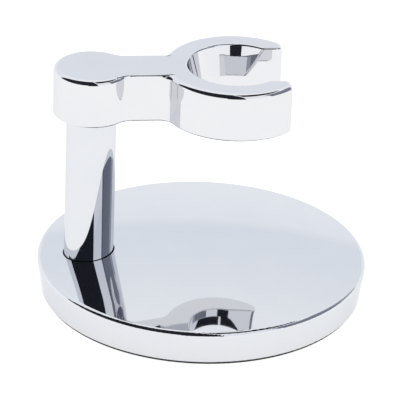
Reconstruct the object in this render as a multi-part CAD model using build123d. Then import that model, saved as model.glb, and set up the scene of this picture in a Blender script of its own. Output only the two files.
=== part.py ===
from build123d import *
import os
from math import cos, hypot, radians, sin, sqrt

# Shaving brush stand. Millimetres, +Z up. The origin is the centre of the round base on the surface
# that the stand rests on. The post stands on the -X side and the arm reaches towards +X.

# Base
base_radius = 50.0  # the shell at the rim
shell_foot_radius = 48.7  # the shell's lower edge, smaller by the casting draft
rim_height = 11.0  # rim above the table, before its edge is rounded
crown_height = 4.2  # how much higher the middle of the top is than the rim
rim_round = 1.4
foot_round = 0.3
shell_wall = 2.6
pad_thickness = 0.8
pad_inset = 0.7  # the pad is this much smaller than the shell's lower edge
adhesive_thickness = 0.15

# Post
post_offset = 34.4  # post axis from the base's centre
post_radius = 7.5
post_bore_radius = 6.0
plug_length = 16.0
socket_gap = 0.35  # round the post's foot, in the shell
socket_depth = 1.0  # at the lowest side of the crowned top
seat_ring_thickness = 0.5

# Arm
arm_underside = 59.6  # above the table
arm_thickness = 15.0
arm_reach = 42.7  # post axis to ring centre
boss_radius = 11.6
neck_half_width = 7.1
ring_radius = 21.7
seat_top_radius = 14.6  # the conical seat at the arm's top
seat_throat_radius = 12.0  # the straight land under the cone
seat_throat_length = 5.8
slot_half_width = 11.3
boss_neck_fillet = 5.5
ring_neck_fillet = 4.0
horn_reach = 15.2  # ring centre to the ring's two ends, which are cut square across
horn_round = 2.0  # plan radius of the corners of those ends
top_edge_round = 1.6
bottom_edge_round = 0.6
seat_edge_round = 0.5
throat_edge_round = 0.4
jig_recess_offset = 19.0  # post axis to the recess in the neck's underside
jig_recess_radius = 2.4
jig_recess_depth = 1.2
arm_washer_thickness = 0.3

# M6 fasteners on the post's axis
m6_radius = 3.0
fit_gap = 0.05  # round a screwed or pressed-in piece
m6_clearance_radius = 3.3
screw_grip_in_plug = 10.0
stud_grip_in_arm = 9.0
stud_grip_in_plug = 10.0
socket_screw_head_radius = 5.25
socket_screw_head_height = 3.3
flat_washer_radius = 6.0
flat_washer_thickness = 1.2
lock_washer_radius = 5.5
lock_washer_thickness = 1.6
lock_washer_split = 0.9

# Ballast and its M4 screws
ballast_gap = 0.5  # to the shell's inner wall
ballast_thickness = 6.6
ballast_screw_count = 3
ballast_screw_circle = 29.0
m4_radius = 2.0
m4_clearance_radius = 2.3
m4_head_radius = 3.6
m4_head_height = 2.4
m4_washer_radius = 4.0
m4_washer_thickness = 0.8
m4_counterbore_radius = 4.6
m4_counterbore_depth = 3.4
m4_grip = 4.2  # screw thread in the pillar
pillar_radius = 4.2  # posts under the shell's top that the weight hangs from
pilot_hole_depth = 4.6
post_pad_radius = 10.0  # the boss under the shell's top that carries the post
head_pocket_radius = 7.5

# Worked out from the above
shell_foot_z = pad_thickness + adhesive_thickness
crown_radius = (base_radius**2 + crown_height**2) / (2 * crown_height)
crown_centre_z = rim_height + crown_height - crown_radius
ballast_top_z = shell_foot_z + ballast_thickness
ballast_radius = shell_foot_radius - shell_wall - ballast_gap
socket_radius = post_radius + socket_gap


def crown_z(radius):
    """Height of the crowned top at this distance from the base's centre."""
    return crown_centre_z + sqrt(crown_radius**2 - radius**2)


socket_floor_z = crown_z(post_offset + socket_radius) - socket_depth
post_foot_z = socket_floor_z + seat_ring_thickness
post_top_z = arm_underside - arm_washer_thickness
post_pad_z = ballast_top_z + 0.2  # lower face of the boss that carries the post
arm_top_z = arm_underside + arm_thickness
post_x = -post_offset
ring_x = post_x + arm_reach


def cylinder(radius, low, high, x=0.0, y=0.0):
    """Upright cylinder between two heights."""
    return Pos(x, y, low) * Cylinder(radius, high - low, align=(Align.CENTER, Align.CENTER, Align.MIN))


def ring(outer, inner, low, high, x=0.0, y=0.0):
    """Upright tube between two heights."""
    return cylinder(outer, low, high, x, y) - cylinder(inner, low - 1, high + 1, x, y)


def ballast_screw_places():
    """Centres of the ballast's screws; the first one is on the side away from the post."""
    step = 360.0 / ballast_screw_count
    return [
        (ballast_screw_circle * cos(radians(i * step)), ballast_screw_circle * sin(radians(i * step)))
        for i in range(ballast_screw_count)
    ]


# ---- base -------------------------------------------------------------------------------------------


def turned_under_crown(foot_radius, rim_radius, foot_z, offset):
    """Solid of revolution under the crowned top, or under a surface this far below it."""
    sphere = crown_radius - offset
    edge_z = crown_centre_z + sqrt(sphere**2 - rim_radius**2)
    middle_z = crown_centre_z + sqrt(sphere**2 - (rim_radius / 2) ** 2)
    top_z = crown_centre_z + sphere
    profile = (
        Polyline((0, top_z), (0, foot_z), (foot_radius, foot_z), (rim_radius, edge_z))
        + ThreePointArc((rim_radius, edge_z), (rim_radius / 2, middle_z), (0, top_z))
    )
    return revolve(Plane.XZ * make_face(profile), Axis.Z)


def make_base_shell():
    """Zinc casting: crowned top, drafted rim, post boss with its socket, three ballast pillars."""
    body = turned_under_crown(shell_foot_radius, base_radius, shell_foot_z, 0.0)
    for radius, edge_round in ((base_radius, rim_round), (shell_foot_radius, foot_round)):
        circles = body.edges().filter_by(GeomType.CIRCLE)
        body = fillet(circles.filter_by(lambda e: abs(e.radius - radius) < 0.01), edge_round)
    inner_foot = shell_foot_radius - shell_wall
    inner_rim = base_radius - shell_wall
    hollow = turned_under_crown(inner_foot, inner_rim, shell_foot_z - 1, shell_wall)
    hollow -= cylinder(post_pad_radius, post_pad_z, rim_height + crown_height, post_x)
    for x, y in ballast_screw_places():
        hollow -= cylinder(pillar_radius, ballast_top_z, rim_height + crown_height, x, y)
    body -= hollow
    body -= cylinder(socket_radius, socket_floor_z, rim_height + crown_height, post_x)
    body -= cylinder(m6_clearance_radius, 0, socket_floor_z + 1, post_x)
    for x, y in ballast_screw_places():
        body -= cylinder(m4_radius + fit_gap, 0, ballast_top_z + pilot_hole_depth, x, y)
    return body


def make_ballast_disc():
    """Cast-iron weight with counterbored screw holes and a pocket round the post screw's head."""
    disc = cylinder(ballast_radius, shell_foot_z, ballast_top_z)
    disc = chamfer(disc.edges().filter_by(GeomType.CIRCLE), 0.6)
    disc -= cylinder(head_pocket_radius, 0, rim_height, post_x)
    for x, y in ballast_screw_places():
        disc -= cylinder(m4_clearance_radius, 0, rim_height, x, y)
        disc -= cylinder(m4_counterbore_radius, 0, shell_foot_z + m4_counterbore_depth, x, y)
    return disc


def make_ballast_washers():
    """One flat washer in each counterbore of the weight."""
    low = shell_foot_z + m4_counterbore_depth - m4_washer_thickness
    high = low + m4_washer_thickness
    return Compound([
        ring(m4_washer_radius, m4_clearance_radius, low, high, x, y) for x, y in ballast_screw_places()
    ])


def make_ballast_screws():
    """Pan-head screws with a cross recess, driven up into the shell's pillars."""
    seat = shell_foot_z + m4_counterbore_depth - m4_washer_thickness
    tip = ballast_top_z + m4_grip
    screws = []
    for x, y in ballast_screw_places():
        head = cylinder(m4_head_radius, seat - m4_head_height, seat, x, y)
        head = fillet(head.edges().filter_by(GeomType.CIRCLE).sort_by(Axis.Z)[0], 1.2)
        shank = cylinder(m4_radius, seat, tip, x, y)
        shank = chamfer(shank.edges().filter_by(GeomType.CIRCLE).sort_by(Axis.Z)[-1], 0.5)
        cross = Box(3.6, 0.9, 2.4) + Box(0.9, 3.6, 2.4)
        screws.append(head + shank - Pos(x, y, seat - m4_head_height) * cross)
    return Compound(screws)


def make_foot_pad():
    """Black foam disc under the whole base."""
    pad = cylinder(shell_foot_radius - pad_inset, 0, pad_thickness)
    return chamfer(pad.edges().filter_by(GeomType.CIRCLE).sort_by(Axis.Z)[0], 0.15)


def make_pad_adhesive():
    """Film between the pad and the shell's lower edge."""
    return cylinder(shell_foot_radius - pad_inset - 0.3, pad_thickness, shell_foot_z)


# ---- post -------------------------------------------------------------------------------------------


def make_post_seat_ring():
    """Rubber ring on the socket's floor, with a lip that fills the gap round the post's foot."""
    lip_top = socket_floor_z + socket_depth - 0.25
    floor = ring(socket_radius - fit_gap, m6_clearance_radius, socket_floor_z, post_foot_z, post_x)
    lip = ring(socket_radius - fit_gap, post_radius + fit_gap, post_foot_z, lip_top, post_x)
    return floor + lip


def make_post_tube():
    """Chromed tube between the base's socket and the arm."""
    tube = ring(post_radius, post_bore_radius, post_foot_z, post_top_z, post_x)
    ends = tube.edges().filter_by(GeomType.CIRCLE).filter_by(lambda e: e.radius > post_radius - 0.1)
    return chamfer(ends, 0.25)


def make_plug(low, high):
    """Plug in the tube's bore, tapped right through on the post's axis."""
    plug = cylinder(post_bore_radius - 0.01, low, high, post_x)
    plug = chamfer(plug.edges().filter_by(GeomType.CIRCLE), 0.4)
    return plug - cylinder(m6_radius + fit_gap, low - 1, high + 1, post_x)


def make_lower_plug():
    """Tapped plug that the post screw draws down on to the base."""
    return make_plug(post_foot_z, post_foot_z + plug_length)


def make_upper_plug():
    """Tapped plug that holds the arm's stud."""
    return make_plug(post_top_z - plug_length, post_top_z)


def make_post_washer():
    """Flat washer against the shell's boss."""
    return ring(flat_washer_radius, m6_clearance_radius, post_pad_z - flat_washer_thickness, post_pad_z, post_x)


def make_post_lock_washer():
    """Split spring washer under the post screw's head, flattened."""
    high = post_pad_z - flat_washer_thickness
    washer = ring(lock_washer_radius, m6_clearance_radius, high - lock_washer_thickness, high, post_x)
    split = Box(lock_washer_radius, lock_washer_split, 2 * lock_washer_thickness + 1)
    middle = high - lock_washer_thickness / 2
    return washer - Pos(post_x - lock_washer_radius + 0.7, 0, middle) * Rot(35, 0, 0) * split


def make_post_screw():
    """M6 screw with a low round head and a hexagon socket, from below into the lower plug."""
    seat = post_pad_z - flat_washer_thickness - lock_washer_thickness
    tip = post_foot_z + screw_grip_in_plug
    low = seat - socket_screw_head_height
    head = cylinder(socket_screw_head_radius, low, seat, post_x)
    head = fillet(head.edges().filter_by(GeomType.CIRCLE).sort_by(Axis.Z)[0], 1.6)
    shank = cylinder(m6_radius, seat, tip, post_x)
    shank = chamfer(shank.edges().filter_by(GeomType.CIRCLE).sort_by(Axis.Z)[-1], 0.7)
    key = extrude(Plane(origin=(post_x, 0, low)) * RegularPolygon(2.3, 6), 2.0)
    return head + shank - key


# ---- arm --------------------------------------------------------------------------------------------


def arm_outline():
    """Plan of the arm: boss, neck and ring, with their concave corners filled."""
    shape = (
        Pos(post_x, 0) * Circle(boss_radius)
        + Pos(post_x + arm_reach / 2, 0) * Rectangle(arm_reach, 2 * neck_half_width)
        + Pos(ring_x, 0) * Circle(ring_radius)
    )
    boss_corner_x = post_x + sqrt(boss_radius**2 - neck_half_width**2)
    ring_corner_x = ring_x - sqrt(ring_radius**2 - neck_half_width**2)
    for corner_x, radius in ((boss_corner_x, boss_neck_fillet), (ring_corner_x, ring_neck_fillet)):
        corners = shape.vertices().filter_by(
            lambda v: abs(v.X - corner_x) < 0.05 and abs(abs(v.Y) - neck_half_width) < 0.05
        )
        shape = fillet(corners, radius)
    return shape


def face_edges(body, height):
    """Edges of the flat face at this height: the seat's circle, and the chain round the outline."""
    face = next(f for f in body.faces().filter_by(Plane.XY) if abs(f.center().Z - height) < 0.01)
    seat = face.edges().filter_by(GeomType.CIRCLE).filter_by(
        lambda e: hypot(e.arc_center.X - ring_x, e.arc_center.Y) < 0.01 and e.radius < ring_radius - 2
    )
    outline = [e for e in face.edges() if not any(e.is_same(s) for s in seat)]
    return seat, outline


def make_brush_arm():
    """Zinc casting: boss on the post, neck, and an open ring with a conical seat for the handle's neck."""
    body = extrude(Plane(origin=(0, 0, arm_underside)) * arm_outline(), arm_thickness)
    slot_middle = (ring_x + ring_radius, 0, arm_underside + arm_thickness / 2)
    body -= Pos(*slot_middle) * Box(2 * ring_radius, 2 * slot_half_width, 2 * arm_thickness)
    horn_end_x = ring_x + horn_reach
    beyond_horns = (horn_end_x + ring_radius, 0, arm_underside + arm_thickness / 2)
    body -= Pos(*beyond_horns) * Box(2 * ring_radius, 3 * ring_radius, 2 * arm_thickness)
    body -= cylinder(seat_throat_radius, arm_underside - 1, arm_top_z + 1, ring_x)
    horns = body.edges().filter_by(Axis.Z).filter_by(lambda e: abs(e.center().X - horn_end_x) < 0.05)
    body = fillet(horns, horn_round)
    cone = Cone(
        seat_throat_radius,
        seat_top_radius,
        arm_thickness - seat_throat_length,
        align=(Align.CENTER, Align.CENTER, Align.MIN),
    )
    body -= Pos(ring_x, 0, arm_underside + seat_throat_length) * cone
    rounds = ((arm_top_z, top_edge_round, seat_edge_round), (arm_underside, bottom_edge_round, throat_edge_round))
    for height, outline_round, seat_round in rounds:
        body = fillet(face_edges(body, height)[1], outline_round)
        body = fillet(face_edges(body, height)[0], seat_round)
    stud_hole_depth = stud_grip_in_arm + 1.0
    body -= cylinder(m6_radius + fit_gap, arm_underside - 1, arm_underside + stud_hole_depth, post_x)
    jig_recess_x = post_x + jig_recess_offset
    body -= cylinder(jig_recess_radius, arm_underside - 1, arm_underside + jig_recess_depth, jig_recess_x)
    return body


def make_arm_stud():
    """M6 double-ended stud between the upper plug and the arm's boss."""
    stud = cylinder(m6_radius, post_top_z - stud_grip_in_plug, arm_underside + stud_grip_in_arm, post_x)
    return chamfer(stud.edges().filter_by(GeomType.CIRCLE), 0.7)


def make_arm_washer():
    """Thin fibre washer between the top of the post and the arm's boss."""
    return ring(post_radius - 0.2, m6_clearance_radius, post_top_z, arm_underside, post_x)


# ---- the nodes --------------------------------------------------------------------------------------

nodes = {
    "base_shell": make_base_shell,
    "ballast_disc": make_ballast_disc,
    "ballast_washers": make_ballast_washers,
    "ballast_screws": make_ballast_screws,
    "foot_pad": make_foot_pad,
    "pad_adhesive": make_pad_adhesive,
    "post_seat_ring": make_post_seat_ring,
    "post_tube": make_post_tube,
    "lower_plug": make_lower_plug,
    "upper_plug": make_upper_plug,
    "post_washer": make_post_washer,
    "post_lock_washer": make_post_lock_washer,
    "post_screw": make_post_screw,
    "brush_arm": make_brush_arm,
    "arm_stud": make_arm_stud,
    "arm_washer": make_arm_washer,
}

os.makedirs("parts", exist_ok=True)
for name, make in nodes.items():
    export_step(make(), f"parts/{name}.step")
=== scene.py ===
import bpy
from math import acos, asin, cos, hypot, pi, radians, sin
from mathutils import Matrix, Vector


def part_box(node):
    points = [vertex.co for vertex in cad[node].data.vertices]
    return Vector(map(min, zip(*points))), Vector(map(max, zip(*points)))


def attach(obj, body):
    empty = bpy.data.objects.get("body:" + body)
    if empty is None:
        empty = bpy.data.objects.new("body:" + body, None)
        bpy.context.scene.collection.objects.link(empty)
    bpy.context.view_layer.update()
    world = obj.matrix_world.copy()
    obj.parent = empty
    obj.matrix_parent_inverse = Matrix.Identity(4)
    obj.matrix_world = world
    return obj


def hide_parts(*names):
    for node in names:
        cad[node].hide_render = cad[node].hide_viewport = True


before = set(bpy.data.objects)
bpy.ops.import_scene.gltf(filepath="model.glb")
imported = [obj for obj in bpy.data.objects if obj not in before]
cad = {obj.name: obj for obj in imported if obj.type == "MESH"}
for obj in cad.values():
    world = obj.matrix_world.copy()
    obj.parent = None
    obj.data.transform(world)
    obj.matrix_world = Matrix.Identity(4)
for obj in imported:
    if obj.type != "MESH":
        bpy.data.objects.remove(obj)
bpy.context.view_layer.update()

# ---- camera ------------------------------------------------------------------------------------------
# A long lens on a stand, a good metre away. It looks down on the stand from in front, a little from the
# post's side, so that the open end of the ring shows on the right.
shell_low, shell_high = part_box("base_shell")
arm_low, arm_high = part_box("brush_arm")
base_radius = (shell_high.x - shell_low.x) / 2
camera_turn = radians(-6.2)
camera_drop = radians(27.0)
camera_roll = radians(2.1)
camera_distance = 21.8 * base_radius
camera_aim = Vector((-0.021 * base_radius, 0.0, 0.397 * arm_high.z))
lens_per_sensor = 9.0
sensor_width = 36.0
far_limit = 20.0
sight = Vector((
    -sin(camera_turn) * cos(camera_drop),
    cos(camera_turn) * cos(camera_drop),
    -sin(camera_drop),
))
bpy.ops.object.select_all(action="DESELECT")
bpy.ops.object.camera_add(location=camera_aim - sight * camera_distance)
camera = bpy.context.object
camera.name = "studio_camera"
camera.data.sensor_width = sensor_width
camera.data.lens = lens_per_sensor * sensor_width
camera.data.clip_end = far_limit
level = sight.to_track_quat("-Z", "Y").to_matrix()
camera.rotation_euler = (Matrix.Rotation(camera_roll, 3, -sight) @ level).to_euler()
bpy.context.scene.camera = camera
bpy.context.scene.view_settings.view_transform = "Standard"

# ---- studio ------------------------------------------------------------------------------------------
# A white tent, open towards the dark room behind the camera. The tent is bright all round, with a cooler
# band on its back wall, which the upward faces of the chrome mirror.
tent_brightness = 1.2
tent_tones = (
    (0.0, (0.97, 0.975, 0.98)),
    (17.0, (0.90, 0.925, 0.955)),
    (20.5, (0.885, 0.91, 0.94)),
    (23.0, (0.80, 0.835, 0.875)),
    (31.0, (0.805, 0.84, 0.88)),
    (46.0, (0.885, 0.905, 0.925)),
    (90.0, (0.93, 0.94, 0.95)),
)
air = bpy.data.worlds.new("white_tent")
air.use_nodes = True
bpy.context.scene.world = air
air_nodes = air.node_tree.nodes
air_links = air.node_tree.links
air_place = air_nodes.new("ShaderNodeTexCoord")
air_split = air_nodes.new("ShaderNodeSeparateXYZ")
air_tone = air_nodes.new("ShaderNodeValToRGB")
air_links.new(air_place.outputs["Generated"], air_split.inputs["Vector"])
air_links.new(air_split.outputs["Z"], air_tone.inputs["Fac"])
air_links.new(air_tone.outputs["Color"], air_nodes["Background"].inputs["Color"])
air_tone.color_ramp.elements[0].color = (*tent_tones[0][1], 1.0)
air_tone.color_ramp.elements[1].color = (*tent_tones[-1][1], 1.0)
for height, tone in tent_tones[1:-1]:
    stop = air_tone.color_ramp.elements.new(sin(radians(height)))
    stop.color = (*tone, 1.0)
air_nodes["Background"].inputs["Strength"].default_value = tent_brightness

# The table is a sheet of white acrylic, lit from below, so that hardly any shadow shows on it.
table_size = 8.0
table_gap = 0.0001
table_glow = (0.992, 0.996, 0.98, 1.0)
table_glow_strength = 0.875
table_white = (0.30, 0.30, 0.30, 1.0)
table_roughness = 0.8
bpy.ops.object.select_all(action="DESELECT")
bpy.ops.mesh.primitive_plane_add(size=table_size, location=(0, 0, -table_gap))
table = bpy.context.object
table.name = "light_table"
acrylic = bpy.data.materials.new("lit_acrylic")
acrylic.use_nodes = True
acrylic_shader = acrylic.node_tree.nodes["Principled BSDF"]
acrylic_shader.inputs["Base Color"].default_value = table_white
acrylic_shader.inputs["Roughness"].default_value = table_roughness
acrylic_shader.inputs["Specular IOR Level"].default_value = 0.0
acrylic_shader.inputs["Emission Color"].default_value = table_glow
acrylic_shader.inputs["Emission Strength"].default_value = table_glow_strength
table.data.materials.append(acrylic)


# Cloths hang inside the tent where only the chrome sees them: black ones round the camera and overhead,
# and grey strips on the right.
def bearing(turn):
    """Level direction at this angle to the right of straight in front of the stand."""
    return Vector((sin(turn), -cos(turn), 0.0))


def hang_cloth(name, tone, reach, turns, rises, back=1.0, lean=0.0):
    """Piece of a globe round the stand, between two bearings and two heights in degrees.

    It goes back to this share of its reach behind the stand, and its right edge leans by so much.
    """
    globe_segments = 96
    globe_rings = 48
    bpy.ops.object.select_all(action="DESELECT")
    bpy.ops.mesh.primitive_uv_sphere_add(segments=globe_segments, ring_count=globe_rings, radius=reach)
    cloth = bpy.context.object
    cloth.name = name
    bpy.ops.object.mode_set(mode="EDIT")
    cuts = (
        (Vector((0, 0, -1)), -sin(radians(rises[0]))),
        (Vector((0, 0, 1)), sin(radians(rises[1]))),
        (bearing(radians(turns[1]) + pi / 2) + Vector((0, 0, lean)), 0.0),
        (bearing(radians(turns[0]) - pi / 2), 0.0),
        (Vector((0, 1, 0)), back),
    )
    for normal, offset in cuts:
        if offset < 1.0:
            bpy.ops.mesh.select_all(action="SELECT")
            bpy.ops.mesh.bisect(
                plane_co=normal.normalized() * offset * reach,
                plane_no=normal,
                clear_outer=True,
            )
    bpy.ops.object.mode_set(mode="OBJECT")
    dye = bpy.data.materials.new(name + "_dye")
    dye.use_nodes = True
    dye_shader = dye.node_tree.nodes["Principled BSDF"]
    dye_shader.inputs["Base Color"].default_value = (*tone, 1.0)
    dye_shader.inputs["Roughness"].default_value = 1.0
    dye_shader.inputs["Specular IOR Level"].default_value = 0.0
    cloth.data.materials.append(dye)
    cloth.visible_camera = False
    cloth.visible_diffuse = False
    cloth.visible_shadow = False


black_dye = (0.017, 0.018, 0.024)
black_reach = 0.9
black_back = 0.25
black_lean = 0.055
hang_cloth(
    "black_cloth",
    black_dye,
    black_reach,
    turns=(-17.0, 11.0),
    rises=(3.0, 90.0),
    back=black_back,
    lean=black_lean,
)
hang_cloth(
    "black_cloth_left", black_dye, black_reach, turns=(-104.0, -15.0), rises=(12.0, 90.0), back=black_back,
)
hang_cloth("black_ceiling", black_dye, black_reach, turns=(10.0, 125.0), rises=(58.0, 90.0))
grey_reach = 0.95
grey_rises = (11.0, 52.0)
grey_strips = (
    (50.0, 57.0, (0.145, 0.15, 0.185)),
    (57.0, 80.0, (0.195, 0.21, 0.26)),
    (80.0, 106.0, (0.215, 0.23, 0.28)),
    (106.0, 122.0, (0.40, 0.42, 0.48)),
)
for start, end, tone in grey_strips:
    hang_cloth(f"grey_cloth_{start:.0f}", tone, grey_reach, turns=(start, end), rises=grey_rises)


# ---- base shell --------------------------------------------------------------------------------------
# The shell is a zinc casting, polished and then plated with copper, nickel and chrome. The plating is
# mirror bright, with the faint waviness of a hand-polished casting.
def chrome_plate(name, tones, ripple_size, ripple_depth, haze):
    """Bright chrome over a polished metal that isn't quite even."""
    ripple_detail = 2.0
    film_patch = 1.0 / 90.0
    film_detail = 4.0
    film_contrast = (0.3, 0.7)
    haze_spread = (0.6, 1.4)
    edge_tint = (0.86, 0.87, 0.89, 1.0)
    plate = bpy.data.materials.new(name)
    plate.use_nodes = True
    nodes = plate.node_tree.nodes
    links = plate.node_tree.links
    shader = nodes["Principled BSDF"]
    place = nodes.new("ShaderNodeTexCoord")
    ripple = nodes.new("ShaderNodeTexNoise")
    ripple.inputs["Scale"].default_value = 1.0 / ripple_size
    ripple.inputs["Detail"].default_value = ripple_detail
    bump = nodes.new("ShaderNodeBump")
    bump.inputs["Strength"].default_value = 1.0
    bump.inputs["Distance"].default_value = ripple_depth
    links.new(place.outputs["Object"], ripple.inputs["Vector"])
    links.new(ripple.outputs["Fac"], bump.inputs["Height"])
    links.new(bump.outputs["Normal"], shader.inputs["Normal"])
    film = nodes.new("ShaderNodeTexNoise")
    film.inputs["Scale"].default_value = 1.0 / film_patch
    film.inputs["Detail"].default_value = film_detail
    film_tone = nodes.new("ShaderNodeValToRGB")
    for stop, share, tone in zip(film_tone.color_ramp.elements, film_contrast, tones):
        stop.position = share
        stop.color = (*tone, 1.0)
    film_haze = nodes.new("ShaderNodeMapRange")
    film_haze.inputs["To Min"].default_value = haze * haze_spread[0]
    film_haze.inputs["To Max"].default_value = haze * haze_spread[1]
    links.new(place.outputs["Object"], film.inputs["Vector"])
    links.new(film.outputs["Fac"], film_tone.inputs["Fac"])
    links.new(film_tone.outputs["Color"], shader.inputs["Base Color"])
    links.new(film.outputs["Fac"], film_haze.inputs["Value"])
    links.new(film_haze.outputs["Result"], shader.inputs["Roughness"])
    shader.inputs["Metallic"].default_value = 1.0
    shader.inputs["Specular Tint"].default_value = edge_tint
    return plate


def finish(node, material):
    """Put one material all over a piece."""
    cad[node].data.materials.clear()
    cad[node].data.materials.append(material)


base_tones = ((0.690, 0.700, 0.735), (0.705, 0.712, 0.742))
casting_ripple_size = 0.012
casting_ripple_depth = 0.000004
casting_haze = 0.03
finish("base_shell", chrome_plate(
    "base_chrome", base_tones, casting_ripple_size, casting_ripple_depth, casting_haze,
))

# ---- foot pad ----------------------------------------------------------------------------------------
# A disc of black closed-cell foam under the whole base keeps it from sliding or scratching. It is die-cut,
# with fine cells showing on its skin, and stuck on with a film of pressure-sensitive adhesive.
foam_cell = 0.0011
foam_cell_depth = 0.00012
foam_cloud_size = 0.02
foam_cloud_detail = 5.0
foam_contrast = (0.3, 0.75)
foam_tones = ((0.011, 0.011, 0.012, 1.0), (0.026, 0.026, 0.027, 1.0))
foam_roughness = (0.78, 0.95)
foam = bpy.data.materials.new("black_foam")
foam.use_nodes = True
foam_nodes = foam.node_tree.nodes
foam_links = foam.node_tree.links
foam_shader = foam_nodes["Principled BSDF"]
foam_place = foam_nodes.new("ShaderNodeTexCoord")
foam_cells = foam_nodes.new("ShaderNodeTexVoronoi")
foam_cells.feature = "SMOOTH_F1"
foam_cells.inputs["Scale"].default_value = 1.0 / foam_cell
foam_cloud = foam_nodes.new("ShaderNodeTexNoise")
foam_cloud.inputs["Scale"].default_value = 1.0 / foam_cloud_size
foam_cloud.inputs["Detail"].default_value = foam_cloud_detail
foam_tone = foam_nodes.new("ShaderNodeValToRGB")
for stop, share, tone in zip(foam_tone.color_ramp.elements, foam_contrast, foam_tones):
    stop.position = share
    stop.color = tone
foam_skin = foam_nodes.new("ShaderNodeMapRange")
foam_skin.inputs["To Min"].default_value = foam_roughness[0]
foam_skin.inputs["To Max"].default_value = foam_roughness[1]
foam_bump = foam_nodes.new("ShaderNodeBump")
foam_bump.inputs["Distance"].default_value = foam_cell_depth
foam_links.new(foam_place.outputs["Object"], foam_cells.inputs["Vector"])
foam_links.new(foam_place.outputs["Object"], foam_cloud.inputs["Vector"])
foam_links.new(foam_cloud.outputs["Fac"], foam_tone.inputs["Fac"])
foam_links.new(foam_tone.outputs["Color"], foam_shader.inputs["Base Color"])
foam_links.new(foam_cells.outputs["Distance"], foam_skin.inputs["Value"])
foam_links.new(foam_skin.outputs["Result"], foam_shader.inputs["Roughness"])
foam_links.new(foam_cells.outputs["Distance"], foam_bump.inputs["Height"])
foam_links.new(foam_bump.outputs["Normal"], foam_shader.inputs["Normal"])
finish("foot_pad", foam)


# ---- pad adhesive ------------------------------------------------------------------------------------
# The adhesive film is a milky double-sided transfer tape, rolled on to the foam before it is cut. A trace
# of it can be seen at the pad's edge.
def mottled(name, dark, light, grain, roughness, relief, metallic=0.0):
    """Material that goes unevenly from a dark to a light tone, with a surface as uneven."""
    contrast = (0.35, 0.65)
    cloud_detail = 6.0
    stuff = bpy.data.materials.new(name)
    stuff.use_nodes = True
    nodes = stuff.node_tree.nodes
    links = stuff.node_tree.links
    shader = nodes["Principled BSDF"]
    place = nodes.new("ShaderNodeTexCoord")
    cloud = nodes.new("ShaderNodeTexNoise")
    cloud.inputs["Scale"].default_value = 1.0 / grain
    cloud.inputs["Detail"].default_value = cloud_detail
    ramp = nodes.new("ShaderNodeValToRGB")
    for stop, share, tone in zip(ramp.color_ramp.elements, contrast, (dark, light)):
        stop.position = share
        stop.color = (*tone, 1.0)
    gloss = nodes.new("ShaderNodeMapRange")
    gloss.inputs["To Min"].default_value = roughness[0]
    gloss.inputs["To Max"].default_value = roughness[1]
    bump = nodes.new("ShaderNodeBump")
    bump.inputs["Distance"].default_value = relief
    links.new(place.outputs["Object"], cloud.inputs["Vector"])
    links.new(cloud.outputs["Fac"], ramp.inputs["Fac"])
    links.new(ramp.outputs["Color"], shader.inputs["Base Color"])
    links.new(cloud.outputs["Fac"], gloss.inputs["Value"])
    links.new(gloss.outputs["Result"], shader.inputs["Roughness"])
    links.new(cloud.outputs["Fac"], bump.inputs["Height"])
    links.new(bump.outputs["Normal"], shader.inputs["Normal"])
    shader.inputs["Metallic"].default_value = metallic
    return stuff


finish("pad_adhesive", mottled(
    "transfer_tape",
    dark=(0.46, 0.44, 0.38),
    light=(0.62, 0.60, 0.54),
    grain=0.003,
    roughness=(0.35, 0.6),
    relief=0.00003,
))

# ---- ballast disc ------------------------------------------------------------------------------------
# A disc of grey cast iron weighs the light casting down. It is rough from the sand mould and dipped in
# thin black oil, and it hangs from three pillars under the shell's top.
finish("ballast_disc", mottled(
    "sand_cast_iron",
    dark=(0.055, 0.054, 0.053),
    light=(0.13, 0.126, 0.12),
    grain=0.0016,
    roughness=(0.5, 0.8),
    relief=0.00016,
    metallic=1.0,
))

# ---- ballast screws and washers ----------------------------------------------------------------------
# Three pan-head screws cut their own thread in the shell's pillars, each with a flat washer. They are
# cold-headed steel, plated with bright zinc.
zinc_plate = mottled(
    "zinc_plate",
    dark=(0.50, 0.52, 0.55),
    light=(0.62, 0.64, 0.67),
    grain=0.0012,
    roughness=(0.24, 0.42),
    relief=0.000012,
    metallic=1.0,
)
finish("ballast_washers", zinc_plate)
finish("ballast_screws", zinc_plate)

# ---- post tube ---------------------------------------------------------------------------------------
# The post is a drawn steel tube, ground and chromed after its ends are chamfered. Being ground in a
# centreless grinder, it is truer than the castings, so its mirror image is almost free of waves.
tube_ripple_size = 0.03
tube_ripple_depth = 0.000003
tube_haze = 0.02
finish("post_tube", chrome_plate(
    "tube_chrome", base_tones, tube_ripple_size, tube_ripple_depth, tube_haze,
))

# ---- post seat ring ----------------------------------------------------------------------------------
# The ring under the post is moulded in black nitrile rubber. Its lip fills the gap in the base's socket
# and keeps water out. Its black is also painted shade: it darkens that narrow gap the way the gap's own
# shadow would.
# The near-black tone of this rubber partly stands in for the shade down in the gap at the post's foot:
# painted shade.
finish("post_seat_ring", mottled(
    "black_rubber",
    dark=(0.010, 0.010, 0.011),
    light=(0.024, 0.024, 0.026),
    grain=0.0008,
    roughness=(0.55, 0.75),
    relief=0.00002,
))


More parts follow.
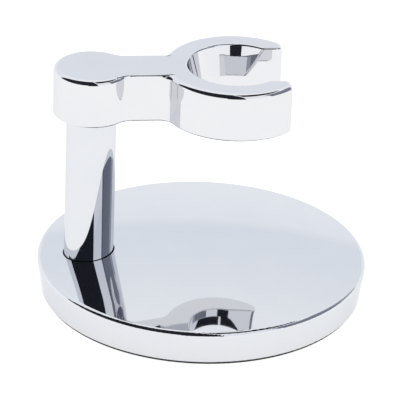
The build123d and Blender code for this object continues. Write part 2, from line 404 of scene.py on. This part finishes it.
# ---- plugs -------------------------------------------------------------------------------------------
# Both plugs are turned from free-cutting steel bar and brazed into the tube. Their faces show the fine
# round marks of the lathe's tool.
def turned_steel(name, axis_x, feed):
    """Bare steel with tool marks in circles round an upright axis."""
    waves_per_scale = 20.0
    chatter = 0.4
    steel = mottled(
        name,
        dark=(0.36, 0.35, 0.34),
        light=(0.48, 0.47, 0.46),
        grain=0.004,
        roughness=(0.22, 0.36),
        relief=0.000004,
        metallic=1.0,
    )
    nodes = steel.node_tree.nodes
    links = steel.node_tree.links
    centre = nodes.new("ShaderNodeMapping")
    centre.inputs["Location"].default_value = (-axis_x, 0.0, 0.0)
    marks = nodes.new("ShaderNodeTexWave")
    marks.wave_type = "RINGS"
    marks.rings_direction = "SPHERICAL"
    marks.inputs["Scale"].default_value = 1.0 / (waves_per_scale * feed)
    marks.inputs["Distortion"].default_value = chatter
    links.new(nodes["Texture Coordinate"].outputs["Object"], centre.inputs["Vector"])
    links.new(centre.outputs["Vector"], marks.inputs["Vector"])
    links.new(marks.outputs["Fac"], nodes["Bump"].inputs["Height"])
    return steel


post_low, post_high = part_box("post_tube")
post_x = (post_low.x + post_high.x) / 2
lathe_feed = 0.0002
bar_steel = turned_steel("bar_steel", post_x, lathe_feed)
finish("lower_plug", bar_steel)
finish("upper_plug", bar_steel)

# ---- post screw, its washers, and the arm stud -------------------------------------------------------
# A socket-head screw with a flat and a split washer comes up through the shell into the lower plug, and
# a stud joins the upper plug and the arm. All of them are bright zinc plated.
finish("post_screw", zinc_plate)
finish("post_washer", zinc_plate)
finish("post_lock_washer", zinc_plate)
finish("arm_stud", zinc_plate)

# ---- arm washer --------------------------------------------------------------------------------------
# A washer punched from red vulcanised fibre, between the post and the arm, stops chrome from grinding on
# chrome when the stud is drawn tight.
finish("arm_washer", mottled(
    "pressed_fibre",
    dark=(0.10, 0.030, 0.022),
    light=(0.19, 0.062, 0.045),
    grain=0.0006,
    roughness=(0.6, 0.85),
    relief=0.00003,
))

# ---- arm ---------------------------------------------------------------------------------------------
# The arm is one zinc casting, plated like the shell: a round boss on the post, a neck, and an open ring
# with a conical seat that the handle's waist drops into. The wheel has rounded the edges of the boss and
# the ring, and left those of the neck nearly sharp.
boss_radius = 0.0116
neck_half_width = 0.0071
ring_radius = 0.0217
slot_half_width = 0.0113
horn_reach = 0.0152
horn_round = 0.0020
boss_corner_round = 0.0055
ring_corner_round = 0.0040
seat_top_radius = 0.0146
seat_throat_radius = 0.0120
seat_throat_length = 0.0058
arm_steps = 40
fewest_steps = 3
neck_steps = 8
weld = 0.000002
ring_x = arm_high.x - horn_reach
arm_thickness = arm_high.z - arm_low.z

bpy.ops.object.select_all(action="DESELECT")
bpy.ops.mesh.primitive_plane_add(size=boss_radius, location=(post_x - boss_radius, 0.0, arm_low.z))
arm = bpy.context.object
arm.name = "ring_arm"
bpy.ops.object.mode_set(mode="EDIT")
bpy.ops.mesh.select_all(action="SELECT")
bpy.ops.mesh.merge(type="CENTER")
bpy.ops.object.mode_set(mode="OBJECT")
bpy.ops.object.transform_apply(location=True, rotation=False, scale=False)
bpy.ops.object.mode_set(mode="EDIT")


def walk_round(centre_x, centre_y, turn):
    """Carry the outline's last point round a centre; a turn to the left is positive."""
    # The spin operator counts a turn to the right as positive.
    bpy.ops.mesh.spin(
        steps=max(fewest_steps, round(abs(turn) / pi * arm_steps)),
        angle=-turn,
        center=(centre_x, centre_y, arm_low.z),
        axis=(0.0, 0.0, 1.0),
    )


def walk_on(along_x, along_y):
    """Carry the outline's last point straight on."""
    bpy.ops.mesh.extrude_region_move(TRANSFORM_OT_translate={"value": (along_x, along_y, 0.0)})


boss_turn = asin((neck_half_width + boss_corner_round) / (boss_radius + boss_corner_round))
ring_turn = asin((neck_half_width + ring_corner_round) / (ring_radius + ring_corner_round))
boss_corner_x = post_x + (boss_radius + boss_corner_round) * cos(boss_turn)
ring_corner_x = ring_x - (ring_radius + ring_corner_round) * cos(ring_turn)
horn_x = ring_x + horn_reach - horn_round
horn_turn = acos((horn_reach - horn_round) / (ring_radius - horn_round))
horn_y = (ring_radius - horn_round) * sin(horn_turn)
walk_round(post_x, 0.0, pi - boss_turn)
walk_round(boss_corner_x, -neck_half_width - boss_corner_round, boss_turn - pi / 2)
for part in range(neck_steps):
    walk_on((ring_corner_x - boss_corner_x) / neck_steps, 0.0)
walk_round(ring_corner_x, -neck_half_width - ring_corner_round, ring_turn - pi / 2)
walk_round(ring_x, 0.0, pi - ring_turn - horn_turn)
walk_round(horn_x, -horn_y, horn_turn)
walk_on(0.0, horn_y - slot_half_width - horn_round)
walk_round(horn_x, -slot_half_width - horn_round, pi / 2)
walk_on(ring_x - horn_x, 0.0)
walk_on(0.0, slot_half_width)
bpy.ops.mesh.select_all(action="SELECT")
bpy.ops.mesh.remove_doubles(threshold=weld)
bpy.ops.mesh.edge_face_add()
bpy.ops.object.mode_set(mode="OBJECT")
mirror = arm.modifiers.new("other_half", "MIRROR")
mirror.use_axis = (False, True, False)
mirror.use_clip = True
mirror.merge_threshold = weld
bpy.ops.object.modifier_apply(modifier=mirror.name)
bpy.ops.object.mode_set(mode="EDIT")
bpy.ops.mesh.select_all(action="SELECT")
bpy.ops.mesh.extrude_region_move(TRANSFORM_OT_translate={"value": (0.0, 0.0, arm_thickness)})
bpy.ops.mesh.select_all(action="SELECT")
bpy.ops.mesh.normals_make_consistent(inside=False)
bpy.ops.object.mode_set(mode="OBJECT")
bore_sides = 64
facing_up = 0.5


def bore(radius, low, high, centre_x, flare=0.0, flare_height=0.0):
    """Cut a round hole in the arm between two heights, and a cone that widens by so much above it."""
    bpy.ops.object.select_all(action="DESELECT")
    bpy.ops.mesh.primitive_cylinder_add(
        vertices=bore_sides,
        radius=radius,
        depth=high - low,
        location=(centre_x, 0.0, (low + high) / 2),
        rotation=(0.0, 0.0, pi / bore_sides),
    )
    cutter = bpy.context.object
    if flare > 0.0:
        bpy.ops.object.mode_set(mode="EDIT")
        bpy.ops.mesh.select_all(action="DESELECT")
        bpy.ops.object.mode_set(mode="OBJECT")
        for face in cutter.data.polygons:
            face.select = face.normal.z > facing_up
        bpy.ops.object.mode_set(mode="EDIT")
        bpy.ops.mesh.extrude_region_move(TRANSFORM_OT_translate={"value": (0.0, 0.0, flare_height)})
        spread = 1.0 + flare / radius
        bpy.ops.transform.resize(
            value=(spread, spread, 1.0),
            center_override=(centre_x, 0.0, high + flare_height),
        )
        bpy.ops.object.mode_set(mode="OBJECT")
    cut = arm.modifiers.new("bore", "BOOLEAN")
    cut.operation = "DIFFERENCE"
    cut.solver = "EXACT"
    cut.object = cutter
    bpy.context.view_layer.objects.active = arm
    bpy.ops.object.modifier_apply(modifier=cut.name)
    bpy.data.objects.remove(cutter)


overcut = 0.001
throat_high = arm_low.z + seat_throat_length
cone_height = arm_high.z - throat_high
cone_flare = (seat_top_radius - seat_throat_radius) * (cone_height + overcut) / cone_height
bore(seat_throat_radius, arm_low.z - overcut, throat_high, ring_x, cone_flare, cone_height + overcut)
# The stud's tapped hole, and the shallow recess that hung the casting on the plater's jig.
stud_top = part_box("arm_stud")[1].z
stud_hole_radius = 0.00305
jig_recess_x = post_x + 0.0190
jig_recess_radius = 0.0024
jig_recess_depth = 0.0012
bore(stud_hole_radius, arm_low.z - overcut, stud_top + overcut, post_x)
bore(jig_recess_radius, arm_low.z - overcut, arm_low.z + jig_recess_depth, jig_recess_x)

# Every edge has its own rounding. Along the concave corners it goes from the wide one of the boss and
# the ring to the neck's fine one.
widest_round = 0.0016
neck_round = 0.00025
lower_round = 0.0006
lip_round = 0.0005
throat_round = 0.0004
land_round = 0.0003
slot_round = 0.0006
slot_corner_round = 0.0006
ring_corner_share = 0.4
small_hole_reach = 0.005
round_segments = 7
near = 0.00002
boss_meets_x = post_x + boss_radius * cos(boss_turn)
ring_meets_x = ring_x - ring_radius * cos(ring_turn)


def top_round(place):
    """Rounding of the outline's upper edge at this place."""
    if place.x > horn_x - near:
        share = (abs(place.y) - slot_half_width) / horn_round
        return slot_round + min(1.0, max(0.0, share)) * (widest_round - slot_round)
    if abs(place.y) < slot_half_width + near and place.x > ring_x:
        return slot_round
    if place.x < boss_corner_x:
        share = (boss_corner_x - place.x) / (boss_corner_x - boss_meets_x)
    else:
        share = (place.x - ring_corner_x) / (ring_meets_x - ring_corner_x) / ring_corner_share
    share = min(1.0, max(0.0, share))
    return neck_round + share * (widest_round - neck_round)


def edge_round(one, other):
    """Rounding of the edge between two points, or 0 where the edge isn't a real one."""
    middle = (one + other) / 2
    reach = [hypot(point.x - ring_x, point.y) for point in (one, other)]
    on_top = min(one.z, other.z) > arm_high.z - near
    on_bottom = max(one.z, other.z) < arm_low.z + near
    if max(abs(one.y), abs(other.y)) < near:
        return 0.0
    if on_top:
        if max(abs(r - seat_top_radius) for r in reach) < near * 2:
            return lip_round
        return top_round(middle)
    if on_bottom:
        if min(hypot(middle.x - x, middle.y) for x in (post_x, jig_recess_x)) < small_hole_reach:
            return 0.0
        if max(abs(r - seat_throat_radius) for r in reach) < near * 2:
            return throat_round
        return lower_round
    if max(abs(point.z - throat_high) for point in (one, other)) < near:
        return land_round
    if max(abs(abs(point.y) - slot_half_width) for point in (one, other)) < near:
        if min(reach) > seat_throat_radius - near and max(reach) < seat_top_radius + near:
            return slot_corner_round
    return 0.0


weights = arm.data.attributes.new("bevel_weight_edge", "FLOAT", "EDGE")
for edge in arm.data.edges:
    one, other = (arm.data.vertices[point].co for point in edge.vertices)
    weights.data[edge.index].value = edge_round(one, other) / widest_round
rounding = arm.modifiers.new("rounding", "BEVEL")
rounding.limit_method = "WEIGHT"
rounding.width = widest_round
rounding.segments = round_segments
rounding.use_clamp_overlap = False
bpy.ops.object.modifier_apply(modifier=rounding.name)
bpy.ops.object.select_all(action="DESELECT")
arm.select_set(True)
bpy.ops.object.shade_smooth()
evening = arm.modifiers.new("evening", "WEIGHTED_NORMAL")
bpy.ops.object.modifier_apply(modifier=evening.name)
arm_tones = ((0.722, 0.722, 0.748), (0.737, 0.734, 0.755))
arm_chrome = chrome_plate(
    "arm_chrome", arm_tones, casting_ripple_size, casting_ripple_depth, casting_haze,
)
arm.data.materials.append(arm_chrome)
finish("brush_arm", arm_chrome)
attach(arm, "root")
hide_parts("brush_arm")
